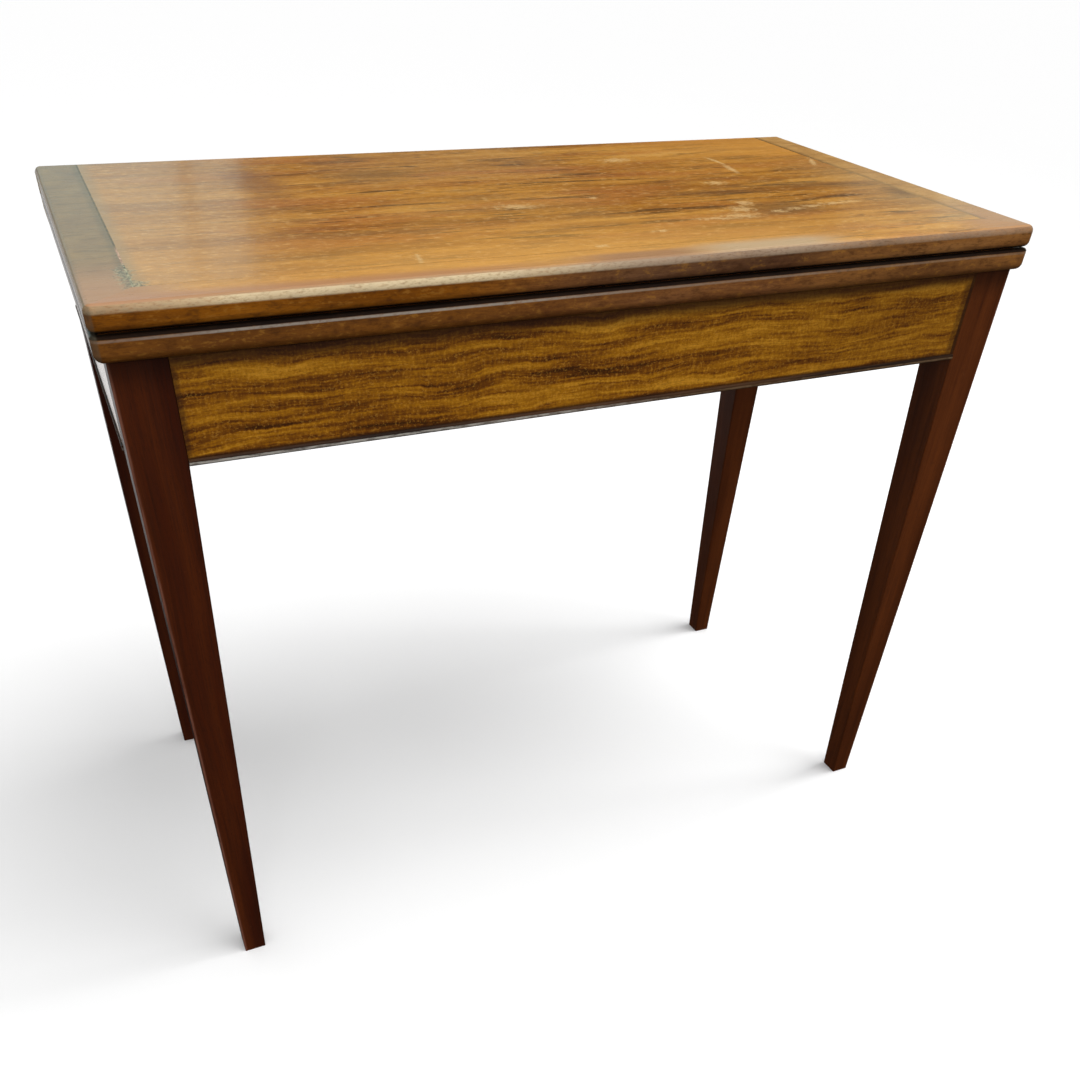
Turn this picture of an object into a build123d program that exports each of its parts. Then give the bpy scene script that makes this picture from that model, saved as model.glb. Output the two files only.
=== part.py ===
from build123d import *
import os

# A fold-over table: two hinged leaves on an underframe with one swinging gate leg.
# Millimetres. +X is to the right, +Y is towards the hinged back edge, +Z is up.
# The origin is on the floor, under the middle of the folded table's box.

# Overall size
table_width = 900.0
leaf_depth = 450.0
table_height = 735.0

# Leaves
leaf_thickness = 20.0
leaf_gap = 1.6
leaf_corner_round = 7.0
upper_top_round = 6.0
upper_bottom_round = 5.5
lower_top_round = 2.5
lower_bottom_round = 6.5

# Veneered face of the upper leaf
top_veneer = 1.0
end_band_width = 39.0
front_band_width = 36.0
string_width = 1.6

# Legs
end_overhang = 7.5
front_overhang = 9.0
leg_top = 44.5
foot_width = 23.5
leg_arris = 1.2

# Fixed rails, frieze veneer and bead
frieze_depth = 88.4
front_core = 21.0
side_core = 19.0
back_core = 19.0
frieze_veneer = 1.1
bead_height = 6.0
bead_projection = 1.5
bead_round = 2.4

# Mortise and tenon joints
tenon_length = 27.0
tenon_thickness = 9.0
tenon_top_shoulder = 14.0
tenon_bottom_shoulder = 10.0
housing_depth = 8.0
glue_clearance = 0.1

# Gate: fly rail, knuckle joint and swing leg
gate_thickness = 22.0
gate_gap = 0.5
gate_top_clearance = 0.4
swing_leg_inset = 3.0
knuckle_offset = 0.0
knuckle_fingers = 5
shoulder_gap = 0.5
finger_clearance = 0.4
knuckle_pin_radius = 3.0
pin_clearance = 0.05

# Hinges let into the ends of the leaves
pivot_offset = 0.4
eye_radius = 4.6
hinge_length = 62.0
hinge_width = 11.0
hinge_thickness = 3.2
hinge_pin_radius = 1.3
lap_clearance = 0.3
hinge_screw_count = 3
hinge_screw_head = 2.9
hinge_screw_radius = 1.4
hinge_screw_length = 16.0

# Tongues on the folding leaf's back edge, which enter the fixed leaf when it lies open
tongue_width = 34.0
tongue_inner = 6.5
tongue_outer = 11.5
tongue_reach = 4.4
tongue_root = 8.0
tongue_clearance = 0.4

# Screws up into the lower leaf, and through the fixed back rail
leaf_screw_radius = 2.0
leaf_screw_head = 4.0
leaf_screw_grip = 28.0
leaf_screw_bite = 12.0
pocket_radius = 5.5
pocket_inset = 6.5
rail_screw_radius = 2.2
rail_screw_head = 4.4
rail_screw_bite = 13.0
screw_slot_width = 0.9
screw_clearance = 0.05

# Glue blocks in the angle of rail and leaf
block_length = 58.0
block_side = 18.0
block_chamfer = 6.0

# Places along a rail or an edge, as shares of the half length that is free there
tongue_shares = (-0.55, 0.55)
front_screw_shares = (-0.86, 0.0, 0.86)
front_block_shares = (-0.67, -0.26, 0.26, 0.67)
side_screw_shares = (0.0,)
side_block_shares = (-0.75, 0.75)
back_screw_shares = (-0.5, 0.5)
back_block_shares = (-0.86, 0.0, 0.86)
rail_screw_shares = (-0.72, 0.0, 0.72)

overrun = 5.0

# Levels
pivot_z = table_height - leaf_thickness - leaf_gap / 2
frame_top = table_height - 2 * leaf_thickness - leaf_gap
rail_bottom = frame_top - frieze_depth
gate_top = frame_top - gate_top_clearance

# Lines in plan
hinge_reach = pivot_offset + eye_radius
leaf_back = leaf_depth / 2 - hinge_reach / 2
leaf_front = leaf_back - leaf_depth
leaf_end = table_width / 2
pivot_y = leaf_back + pivot_offset
side_face = leaf_end - end_overhang
front_face = leaf_front + front_overhang
swing_back = leaf_back - swing_leg_inset
frame_back = swing_back - gate_thickness - gate_gap
leg_inner = side_face - leg_top
front_leg_back = front_face + leg_top
rear_leg_front = frame_back - leg_top
knuckle_y = swing_back - gate_thickness / 2
knuckle_radius = gate_thickness / 2
knuckle_shoulder = knuckle_radius + shoulder_gap
side_core_face = side_face - frieze_veneer
side_core_back = side_core_face - side_core
front_core_face = front_face + frieze_veneer
front_core_back = front_core_face + front_core
back_core_front = frame_back - back_core


def block(x_low, x_high, y_low, y_high, z_low, z_high):
    """A box between two corners, given in either order along each axis."""
    x_low, x_high = sorted((x_low, x_high))
    y_low, y_high = sorted((y_low, y_high))
    z_low, z_high = sorted((z_low, z_high))
    corner = Pos(x_low, y_low, z_low)
    return corner * Box(x_high - x_low, y_high - y_low, z_high - z_low, align=(Align.MIN,) * 3)


def rod(radius, x, y, z_low, z_high):
    """An upright cylinder."""
    upright = (Align.CENTER, Align.CENTER, Align.MIN)
    return Pos(x, y, z_low) * Cylinder(radius, z_high - z_low, align=upright)


def grown(x_pair, y_pair, z_pair, clearance):
    """The same box as block makes, larger by a clearance on every side."""
    edges = []
    for pair in (x_pair, y_pair, z_pair):
        low, high = sorted(pair)
        edges += [low - clearance, high + clearance]
    return block(*edges)


def screw(head_radius, radius, length):
    """A slotted countersunk wood screw. The head's face is at zero and the point is below it."""
    taper = head_radius - radius
    down = (Align.CENTER, Align.CENTER, Align.MAX)
    head = Cone(radius, head_radius, taper, align=down)
    shank_length = length - head_radius
    shank = Cylinder(radius, shank_length, align=down)
    point = Pos(0, 0, -shank_length) * Cone(radius / 4, radius, length - shank_length, align=down)
    slot_depth = taper / 2
    slot = Box(2 * head_radius + overrun, screw_slot_width, 2 * slot_depth)
    return head + shank + point - slot


def screw_hole(head_radius, radius, length):
    """The countersunk hole that the same screw fills, with a small clearance all round."""
    taper = head_radius - radius
    down = (Align.CENTER, Align.CENTER, Align.MAX)
    wide = Cone(radius + screw_clearance, head_radius + screw_clearance, taper, align=down)
    return wide + Cylinder(radius + screw_clearance, length + screw_clearance, align=down)


def leaf_blank(z_low, top_round, bottom_round):
    """A leaf with rounded front and end edges and a square back edge, where the leaves meet."""
    z_high = z_low + leaf_thickness
    leaf = block(-leaf_end, leaf_end, leaf_front, leaf_back, z_low, z_high)
    front_corners = leaf.edges().filter_by(Axis.Z).sort_by(Axis.Y)[:2]
    leaf = fillet(front_corners, leaf_corner_round)
    for level, radius in ((Axis.Z, top_round), (-Axis.Z, bottom_round)):
        face = leaf.faces().sort_by(level)[-1]
        back_edge = face.edges().sort_by(Axis.Y)[-1]
        rim = [edge for edge in face.edges() if edge != back_edge]
        leaf = fillet(rim, radius)
    return leaf


def hinge_outline(leaf_middle):
    """Side view of one hinge plate: a strap in the leaf, an arm and the eye round the pivot."""
    strap_end = hinge_width / 2
    strap_length = hinge_length - strap_end
    strap = Pos(leaf_back - strap_length / 2, leaf_middle) * Rectangle(strap_length, hinge_width)
    tip = Pos(leaf_back - strap_length, leaf_middle) * Circle(strap_end)
    arm_height = abs(pivot_z - leaf_middle)
    arm_place = Pos(leaf_back - eye_radius / 2, (pivot_z + leaf_middle) / 2)
    arm = arm_place * Rectangle(eye_radius, arm_height)
    eye = Pos(pivot_y, pivot_z) * Circle(eye_radius)
    return strap + tip + arm + eye


def from_end(side, outline, depth_in, depth_out):
    """An outline drawn in side view, made solid between two depths in from a leaf's end."""
    plane = Plane(origin=(leaf_end - depth_out, 0, 0), x_dir=(0, 1, 0), z_dir=(1, 0, 0))
    solid = extrude(plane * outline, depth_out - depth_in)
    return solid if side > 0 else mirror(solid, about=Plane.YZ)


def pivot_disc(side, radius, depth_in, depth_out):
    """A disc round the hinge's pivot, between two depths in from a leaf's end."""
    return from_end(side, Pos(pivot_y, pivot_z) * Circle(radius), depth_in, depth_out)


def hinge_screw_places(side, leaf_middle):
    """Where the screws of one hinge plate stand, with the head's face on the plate."""
    pitch = (hinge_length - hinge_width) / hinge_screw_count
    places = []
    for index in range(hinge_screw_count):
        y = leaf_back - hinge_width - index * pitch
        places.append(Pos(side * leaf_end, y, leaf_middle) * Rot(0, 90 * side, 0))
    return places


def hinge_plate(side, leaf_middle, eye_outside):
    """One brass plate. Its eye is the outer or the inner half of the strap's thickness."""
    half = hinge_thickness / 2
    plate = from_end(side, hinge_outline(leaf_middle), 0, hinge_thickness)
    lap_radius = eye_radius + lap_clearance
    if eye_outside:
        lap = pivot_disc(side, lap_radius, half - lap_clearance / 2, hinge_thickness + overrun)
        bore = hinge_pin_radius
    else:
        lap = pivot_disc(side, lap_radius, -overrun, half + lap_clearance / 2)
        bore = hinge_pin_radius + pin_clearance
    plate -= lap
    plate -= pivot_disc(side, bore, -overrun, hinge_thickness + overrun)
    for place in hinge_screw_places(side, leaf_middle):
        plate -= place * screw_hole(hinge_screw_head, hinge_screw_radius, hinge_screw_length)
    return plate


def cut_for_hinges(leaf, leaf_middle):
    """Recesses in both ends of a leaf for its plates, screws and the other plate's eye."""
    for side in (-1, 1):
        leaf -= from_end(side, hinge_outline(leaf_middle), -overrun, hinge_thickness)
        eye_room = eye_radius + lap_clearance
        leaf -= pivot_disc(side, eye_room, -overrun, hinge_thickness + lap_clearance)
        for place in hinge_screw_places(side, leaf_middle):
            leaf -= place * screw_hole(hinge_screw_head, hinge_screw_radius, hinge_screw_length)
    return leaf


def ring_slice(x, width, inner, outer, y_pair, upwards):
    """Part of a ring round the pivot, above or below it, between two distances behind it."""
    height = outer if upwards else -outer
    y_low, y_high = y_pair
    window = Pos(pivot_y + (y_low + y_high) / 2, pivot_z + height / 2)
    window *= Rectangle(y_high - y_low, outer)
    ring = Pos(pivot_y, pivot_z) * (Circle(outer) - Circle(inner))
    plane = Plane(origin=(x - width / 2, 0, 0), x_dir=(0, 1, 0), z_dir=(1, 0, 0))
    return extrude(plane * (ring & window), width)


def tongues():
    """Curved tongues glued into the folding leaf. They keep the open leaves level."""
    span = (-tongue_root, tongue_reach)
    return [
        ring_slice(x, tongue_width, tongue_inner, tongue_outer, span, True)
        for x in along(0, leaf_end, tongue_shares)
    ]


def cut_tongue_slots(leaf):
    """Slots in the fixed leaf's back edge that the tongues enter as the leaf comes down."""
    inner = tongue_inner - tongue_clearance
    outer = tongue_outer + tongue_clearance
    span = (-tongue_reach - tongue_clearance, overrun)
    for x in along(0, leaf_end, tongue_shares):
        leaf -= ring_slice(x, tongue_width + 2 * tongue_clearance, inner, outer, span, False)
    return leaf


def along(centre, half_length, shares):
    """Places along a rail, from its middle and shares of its half length."""
    return [centre + share * half_length for share in shares]


side_rail_middle = (front_leg_back + frame_back) / 2
side_rail_half = (frame_back - front_leg_back) / 2
front_pocket_y = front_core_back - pocket_inset
side_pocket_x = side_core_back + pocket_inset
back_pocket_y = back_core_front + pocket_inset

leaf_screw_spots = [(x, front_pocket_y) for x in along(0, leg_inner, front_screw_shares)]
leaf_screw_spots += [(x, back_pocket_y) for x in along(0, leg_inner, back_screw_shares)]
for side in (-1, 1):
    for y in along(side_rail_middle, side_rail_half, side_screw_shares):
        leaf_screw_spots.append((side * side_pocket_x, y))


def leaf_screws():
    """Screws that stand in deep counterbores of the rails and hold the lower leaf down."""
    length = leaf_screw_grip + leaf_screw_bite
    one = Rot(180, 0, 0) * screw(leaf_screw_head, leaf_screw_radius, length)
    return [Pos(x, y, frame_top - leaf_screw_grip) * one for x, y in leaf_screw_spots]


def cut_for_leaf_screws(piece):
    """Counterbores from below and holes for the leaf screws, cut out of a rail."""
    length = leaf_screw_grip + leaf_screw_bite
    hole = Rot(180, 0, 0) * screw_hole(leaf_screw_head, leaf_screw_radius, length)
    low = rail_bottom - overrun
    for x, y in leaf_screw_spots:
        piece -= Pos(x, y, frame_top - leaf_screw_grip) * hole
        piece -= rod(pocket_radius, x, y, low, frame_top - leaf_screw_grip)
    return piece


def lower_leaf():
    """The fixed leaf, screwed to the rails."""
    leaf = leaf_blank(frame_top, lower_top_round, lower_bottom_round)
    leaf = cut_tongue_slots(cut_for_hinges(leaf, frame_top + leaf_thickness / 2))
    length = leaf_screw_grip + leaf_screw_bite
    hole = Rot(180, 0, 0) * screw_hole(leaf_screw_head, leaf_screw_radius, length)
    for x, y in leaf_screw_spots:
        leaf -= Pos(x, y, frame_top - leaf_screw_grip) * hole
    return leaf


upper_bottom = table_height - leaf_thickness
veneer_bottom = table_height - top_veneer
upper_shape = leaf_blank(upper_bottom, upper_top_round, upper_bottom_round)


def upper_leaf():
    """The folding leaf's board, under the veneer of its outer face."""
    above = block(-leaf_end, leaf_end, leaf_front, leaf_back, veneer_bottom, table_height + overrun)
    leaf = cut_for_hinges(upper_shape - above, table_height - leaf_thickness / 2)
    for tongue in tongues():
        leaf -= tongue
    return leaf


def top_veneers():
    """Field, crossbands with mitred corners, and the thin line between them."""
    band_x = leaf_end - end_band_width
    band_y = leaf_front + front_band_width
    field_x = band_x - string_width
    field_y = band_y + string_width
    outlines = {
        "field_veneer": [(-field_x, field_y), (field_x, field_y), (field_x, leaf_back),
                         (-field_x, leaf_back)],
        "crossband_front": [(-leaf_end, leaf_front), (leaf_end, leaf_front), (band_x, band_y),
                            (-band_x, band_y)],
        "crossband_left": [(-leaf_end, leaf_front), (-band_x, band_y), (-band_x, leaf_back),
                           (-leaf_end, leaf_back)],
        "crossband_right": [(leaf_end, leaf_front), (leaf_end, leaf_back), (band_x, leaf_back),
                            (band_x, band_y)],
    }
    pieces = {}
    for name, corners in outlines.items():
        cutter = extrude(Pos(0, 0, veneer_bottom) * Polygon(*corners, align=None), top_veneer)
        pieces[name] = upper_shape & cutter
    lines = [block(-band_x, band_x, band_y, field_y, veneer_bottom, table_height)]
    for side in (-1, 1):
        lines.append(
            block(side * field_x, side * band_x, field_y, leaf_back, veneer_bottom, table_height)
        )
    pieces["stringing"] = lines
    return pieces


def leg(corner_x, corner_y, to_x, to_y, knee):
    """A leg below its knee: the two outer faces stay plumb and the two inner ones taper."""
    def section(width, level):
        middle = Pos(corner_x + to_x * width / 2, corner_y + to_y * width / 2, level)
        return middle * RectangleRounded(width, width, leg_arris)

    return loft([section(foot_width, 0), section(leg_top, knee)], ruled=True)


def leg_block(corner_x, corner_y, to_x, to_y):
    """The square head of a fixed leg, beside the rails."""
    middle = Pos(corner_x + to_x * leg_top / 2, corner_y + to_y * leg_top / 2, rail_bottom)
    return extrude(middle * RectangleRounded(leg_top, leg_top, leg_arris), frame_top - rail_bottom)


tenon_levels = (rail_bottom + tenon_bottom_shoulder, frame_top - tenon_top_shoulder)
tenon_half = tenon_thickness / 2
front_tenon_y = (front_core_face + front_core_back) / 2
back_tenon_y = (back_core_front + frame_back) / 2
side_tenon_x = (side_core_face + side_core_back) / 2
front_tenon_span = (front_tenon_y - tenon_half, front_tenon_y + tenon_half)
back_tenon_span = (back_tenon_y - tenon_half, back_tenon_y + tenon_half)
fly_tenon_span = (knuckle_y - tenon_half, knuckle_y + tenon_half)


def side_tenon_span(side):
    """A side rail's tenon across its thickness."""
    return (side * (side_tenon_x - tenon_half), side * (side_tenon_x + tenon_half))


def end_tenon_reach(side):
    """A tenon that enters a leg from the middle of the table, along X."""
    return (side * leg_inner, side * (leg_inner + tenon_length))


def fixed_leg(side, corner_y, to_y, x_tenon_span):
    """A leg with mortises for the rail along X and for the side rail."""
    to_x = -side
    piece = leg(side * side_face, corner_y, to_x, to_y, rail_bottom)
    piece += leg_block(side * side_face, corner_y, to_x, to_y)
    inner_y = corner_y + to_y * leg_top
    side_reach = (inner_y, inner_y - to_y * tenon_length)
    piece -= grown(end_tenon_reach(side), x_tenon_span, tenon_levels, glue_clearance)
    piece -= grown(side_tenon_span(side), side_reach, tenon_levels, glue_clearance)
    return piece


def swing_leg():
    """The gate's leg. Above its knee it is only as thick as the fly rail, to clear the frame."""
    knee = rail_bottom - gate_gap
    piece = leg(-side_face, swing_back, 1, -1, knee)
    width = leg_top
    depth = gate_thickness
    middle = Pos(-side_face + width / 2, swing_back - depth / 2, knee)
    piece += extrude(middle * RectangleRounded(width, depth, leg_arris), gate_top - knee)
    piece -= grown(end_tenon_reach(-1), fly_tenon_span, tenon_levels, glue_clearance)
    return piece


def front_rail():
    """Core of the front frieze, tenoned into both front legs."""
    rail = block(-leg_inner, leg_inner, front_core_face, front_core_back, rail_bottom, frame_top)
    for side in (-1, 1):
        rail += block(*end_tenon_reach(side), *front_tenon_span, *tenon_levels)
    return cut_for_leaf_screws(rail)


def side_rail(side):
    """Core of a side frieze. On the right it is tenoned into both legs, on the left into one."""
    rear = rear_leg_front if side > 0 else frame_back
    x_pair = (side * side_core_face, side * side_core_back)
    rail = block(*x_pair, front_leg_back, rear, rail_bottom, frame_top)
    rail += block(*side_tenon_span(side), front_leg_back, front_leg_back - tenon_length, *tenon_levels)
    if side > 0:
        rail += block(*side_tenon_span(side), rear, rear + tenon_length, *tenon_levels)
    else:
        housing = (-side_core_back, -side_core_back - housing_depth)
        rail -= grown(housing, back_tenon_span, tenon_levels, glue_clearance)
    return cut_for_leaf_screws(rail)


def inner_back_rail():
    """The fixed rail behind which the gate folds away."""
    rail = block(-side_core_back, leg_inner, back_core_front, frame_back, rail_bottom, frame_top)
    rail += block(*end_tenon_reach(1), *back_tenon_span, *tenon_levels)
    housing = (-side_core_back, -side_core_back - housing_depth)
    rail += block(*housing, *back_tenon_span, *tenon_levels)
    for place in rail_screw_places():
        rail -= place * rail_screw_hole()
    return cut_for_leaf_screws(rail)


def rail_screw_places():
    """Screws through the fixed back rail, in two rows, with heads on its back face."""
    left = knuckle_offset + knuckle_shoulder
    centre = (left + leg_inner) / 2
    half = (leg_inner - left) / 2
    places = []
    for x in along(centre, half, rail_screw_shares):
        for z in (rail_bottom + frieze_depth / 4, frame_top - frieze_depth / 4):
            places.append(Pos(x, swing_back, z) * Rot(-90, 0, 0))
    return places


rail_screw_length = gate_thickness + gate_gap + rail_screw_bite


def rail_screw_hole():
    return screw_hole(rail_screw_head, rail_screw_radius, rail_screw_length)


def knuckled(x_end, levels):
    """A gate rail from its far end to the knuckle, with its share of the knuckle's fingers."""
    way = -1 if x_end < knuckle_offset else 1
    shoulder = knuckle_offset + way * knuckle_shoulder
    y_low = swing_back - gate_thickness
    rail = block(x_end, shoulder, y_low, swing_back, rail_bottom, gate_top)
    pitch = (gate_top - rail_bottom) / knuckle_fingers
    for level in levels:
        low = rail_bottom + level * pitch
        high = low + pitch
        if level > 0:
            low += finger_clearance / 2
        if level < knuckle_fingers - 1:
            high -= finger_clearance / 2
        rail += block(knuckle_offset, shoulder, y_low, swing_back, low, high)
        rail += rod(knuckle_radius, knuckle_offset, knuckle_y, low, high)
    bore = knuckle_pin_radius + pin_clearance
    low = rail_bottom - overrun
    return rail - rod(bore, knuckle_offset, knuckle_y, low, gate_top + overrun)


def fly_rail():
    """The swinging half of the outer back rail, tenoned into the swing leg."""
    rail = knuckled(-leg_inner, range(0, knuckle_fingers, 2))
    return rail + block(*end_tenon_reach(-1), *fly_tenon_span, *tenon_levels)


def fixed_back_rail():
    """The fixed half of the outer back rail, on a thin packing against the inner rail."""
    rail = knuckled(leg_inner, range(1, knuckle_fingers, 2))
    left = knuckle_offset + knuckle_shoulder
    y_low = swing_back - gate_thickness
    rail += block(left, leg_inner, frame_back, y_low, rail_bottom, gate_top)
    for place in rail_screw_places():
        rail -= place * rail_screw_hole()
    return rail


def frieze_veneers():
    """Figured veneer on the three shown rails, flush with the legs."""
    low = rail_bottom + bead_height
    front = block(-leg_inner, leg_inner, front_face, front_core_face, low, frame_top)
    left = block(-side_face, -side_core_face, front_leg_back, frame_back, low, frame_top)
    right = block(side_face, side_core_face, front_leg_back, rear_leg_front, low, frame_top)
    return {"frieze_front": front, "frieze_left": left, "frieze_right": right}


def bead(length):
    """A rounded strip along +X whose back is at zero and whose rounded front faces -Y."""
    depth = frieze_veneer + bead_projection
    strip = Pos(0, -depth / 2, bead_height / 2) * Box(length, depth, bead_height)
    front_edges = strip.edges().filter_by(Axis.X).sort_by(Axis.Y)[:2]
    return fillet(front_edges, bead_round)


def beads():
    """The dark bead along the bottom of each shown rail."""
    right_y = (front_leg_back + rear_leg_front) / 2
    right_length = rear_leg_front - front_leg_back
    left_length = frame_back - front_leg_back
    left_place = Pos(-side_core_face, side_rail_middle, rail_bottom) * Rot(0, 0, -90)
    right_place = Pos(side_core_face, right_y, rail_bottom) * Rot(0, 0, 90)
    return {
        "bead_front": Pos(0, front_core_face, rail_bottom) * bead(2 * leg_inner),
        "bead_left": left_place * bead(left_length),
        "bead_right": right_place * bead(right_length),
    }


def glue_block():
    """A block along X whose back face is on the rail, at zero, and whose top is on the leaf."""
    piece = Pos(0, block_side / 2, -block_side / 2) * Box(block_length, block_side, block_side)
    long_edges = piece.edges().filter_by(Axis.X)
    shown_edge = long_edges.sort_by(lambda edge: edge.center().Y - edge.center().Z)[-1]
    return chamfer(shown_edge, block_chamfer)


def glue_blocks():
    """Blocks inside the front, side and back rails."""
    one = glue_block()
    long_reach = leg_inner - block_length / 2
    side_middle = (front_leg_back + rear_leg_front) / 2
    side_reach = (rear_leg_front - front_leg_back - block_length) / 2
    front = []
    for x in along(0, long_reach, front_block_shares):
        front.append(Pos(x, front_core_back, frame_top) * one)
    back = []
    for x in along(0, long_reach, back_block_shares):
        back.append(Pos(x, back_core_front, frame_top) * Rot(0, 0, 180) * one)
    sides = []
    for side in (-1, 1):
        for y in along(side_middle, side_reach, side_block_shares):
            sides.append(Pos(side * side_core_back, y, frame_top) * Rot(0, 0, 90 * side) * one)
    return {"glue_blocks_front": front, "glue_blocks_back": back, "glue_blocks_side": sides}


def hinge_pins():
    """Rivets through both eyes of each hinge."""
    return [pivot_disc(side, hinge_pin_radius, 0, hinge_thickness) for side in (-1, 1)]


def hinge_screws(leaf_middle):
    """The screws of the two plates in one leaf."""
    one = screw(hinge_screw_head, hinge_screw_radius, hinge_screw_length)
    return [place * one for side in (-1, 1) for place in hinge_screw_places(side, leaf_middle)]


lower_middle = frame_top + leaf_thickness / 2
upper_middle = table_height - leaf_thickness / 2

nodes = {
    "lower_leaf": lower_leaf(),
    "upper_leaf": upper_leaf(),
    "front_leg_left": fixed_leg(-1, front_face, 1, front_tenon_span),
    "front_leg_right": fixed_leg(1, front_face, 1, front_tenon_span),
    "rear_leg_right": fixed_leg(1, frame_back, -1, back_tenon_span),
    "swing_leg": swing_leg(),
    "front_rail": front_rail(),
    "side_rail_left": side_rail(-1),
    "side_rail_right": side_rail(1),
    "inner_back_rail": inner_back_rail(),
    "fixed_back_rail": fixed_back_rail(),
    "fly_rail": fly_rail(),
    "knuckle_pin": rod(knuckle_pin_radius, knuckle_offset, knuckle_y, rail_bottom, gate_top),
    "leaf_screws": leaf_screws(),
    "back_rail_screws": [
        place * screw(rail_screw_head, rail_screw_radius, rail_screw_length)
        for place in rail_screw_places()
    ],
    "hinge_lower_left": hinge_plate(-1, lower_middle, True),
    "hinge_lower_right": hinge_plate(1, lower_middle, True),
    "hinge_upper_left": hinge_plate(-1, upper_middle, False),
    "hinge_upper_right": hinge_plate(1, upper_middle, False),
    "leaf_tongues": tongues(),
    "hinge_pins": hinge_pins(),
    "hinge_screws_lower": hinge_screws(lower_middle),
    "hinge_screws_upper": hinge_screws(upper_middle),
}
nodes.update(top_veneers())
nodes.update(frieze_veneers())
nodes.update(beads())
nodes.update(glue_blocks())

os.makedirs("parts", exist_ok=True)
for name, piece in nodes.items():
    shape = Compound(children=piece) if isinstance(piece, list) else piece
    shape.label = name
    export_step(shape, os.path.join("parts", name + ".step"))
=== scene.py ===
"""Looks for the fold-over table: finishes for its CAD nodes, soft studio light and the camera."""
import math

import bpy
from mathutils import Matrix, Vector

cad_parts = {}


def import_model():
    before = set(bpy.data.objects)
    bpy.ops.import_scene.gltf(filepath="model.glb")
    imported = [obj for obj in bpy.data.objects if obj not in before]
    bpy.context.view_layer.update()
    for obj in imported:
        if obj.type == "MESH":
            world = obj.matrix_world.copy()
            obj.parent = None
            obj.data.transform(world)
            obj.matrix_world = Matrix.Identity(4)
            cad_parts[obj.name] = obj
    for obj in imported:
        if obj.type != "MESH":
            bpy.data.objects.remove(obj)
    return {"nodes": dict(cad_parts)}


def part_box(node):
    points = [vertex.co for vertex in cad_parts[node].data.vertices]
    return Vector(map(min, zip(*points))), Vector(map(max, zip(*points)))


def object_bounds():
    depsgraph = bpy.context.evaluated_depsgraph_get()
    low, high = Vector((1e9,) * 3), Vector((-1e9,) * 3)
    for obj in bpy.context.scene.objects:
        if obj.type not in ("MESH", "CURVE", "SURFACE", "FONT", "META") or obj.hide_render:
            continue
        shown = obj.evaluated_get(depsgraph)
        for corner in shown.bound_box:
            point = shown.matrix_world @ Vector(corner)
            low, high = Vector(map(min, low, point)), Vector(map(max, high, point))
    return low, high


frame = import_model()
nodes = frame["nodes"]
cad_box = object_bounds()

MM = 0.001
X, Y, Z = 0, 1, 2

# Sockets of the Mix node when it mixes colours
mix_share, mix_first, mix_second, mix_result = 0, 6, 7, 2

# Camera, as the photograph was taken
camera_place = (-0.4711, -1.0211, 0.9739)
camera_turn_degrees = (48.767, -2.563, -24.471)
camera_lens = 33.385
camera_sensor = 36.0
camera_shift_up = 0.2

# Levels and lines of the table, from its own pieces
top = cad_box[1].z
upper_low, upper_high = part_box("upper_leaf")
lower_low, lower_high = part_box("lower_leaf")
field_low, field_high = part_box("field_veneer")
frieze_low, frieze_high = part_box("frieze_front")
front_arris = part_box("crossband_front")[0].y
bead_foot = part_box("bead_front")[0].z

# A layer of noise has its troughs and crests near these values, and its open pores between these
trough, crest = 0.3, 0.7
pore_rim, pore_floor = 0.60, 0.72
pore_length, pore_width = 7 * MM, 0.28 * MM
wave_length = 300 * MM

# Layers of a grain: length and width of their patches, as shares of the streaks' own, an offset that
# keeps them apart, then detail, roughness and distortion
grain_shapes = {"broad": (3.4, 6.5, 0, 3.0, 0.55, 0.0),
                "streak": (1.0, 1.0, 7, 5.0, 0.62, 0.2),
                "line": (1 / 3, 1 / 5, 13, 3.0, 0.60, 0.0)}

# Roughness of each surface, in the troughs and on the crests of its grain
veneer_rough = (0.27, 0.36)
leaf_rough = (0.38, 0.50)
leg_rough = (0.30, 0.42)
bead_rough = (0.50, 0.62)
gate_rough = (0.50, 0.70)
carcase_rough = (0.60, 0.80)
front_frieze_rough = (0.42, 0.55)
side_frieze_rough = (0.16, 0.26)

# Dulled metal: how much rougher its spots are, and how far it still is metallic
spotted, dulled_metallic = 0.25, 0.6

# Depth of relief of the grain's lines and pores
veneer_line_relief, veneer_pore_relief = 0.06 * MM, 0.05 * MM
wood_line_relief, wood_pore_relief = 0.08 * MM, 0.06 * MM
metal_relief = 0.08 * MM
string_relief = 0.1 * MM

# The top's field: shades from its troughs to its crests
field_shades = [(0.36, "824E0E"), (0.43, "A66818"), (0.50, "C4842A"), (0.57, "D49436"), (0.65, "E2AA54")]
broad_share, streak_share = 0.52, 0.48

# Patches on the field: length and width in mm, offset, detail, roughness, the values where they start
# and are whole, their strength, their colour, and whether they are calmer at the left
field_patches = ((220, 45.0, 37, 3.0, 0.60, 0.48, 0.66, 0.55, "B4682A", False),
                 (110, 26.0, 39, 4.0, 0.65, 0.51, 0.68, 0.60, "78502A", True),
                 (120, 9.5, 41, 3.0, 0.60, 0.57, 0.67, 0.82, "5A3814", True),
                 (34, 6.5, 47, 3.0, 0.65, 0.56, 0.70, 0.60, "70441A", True))

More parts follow.
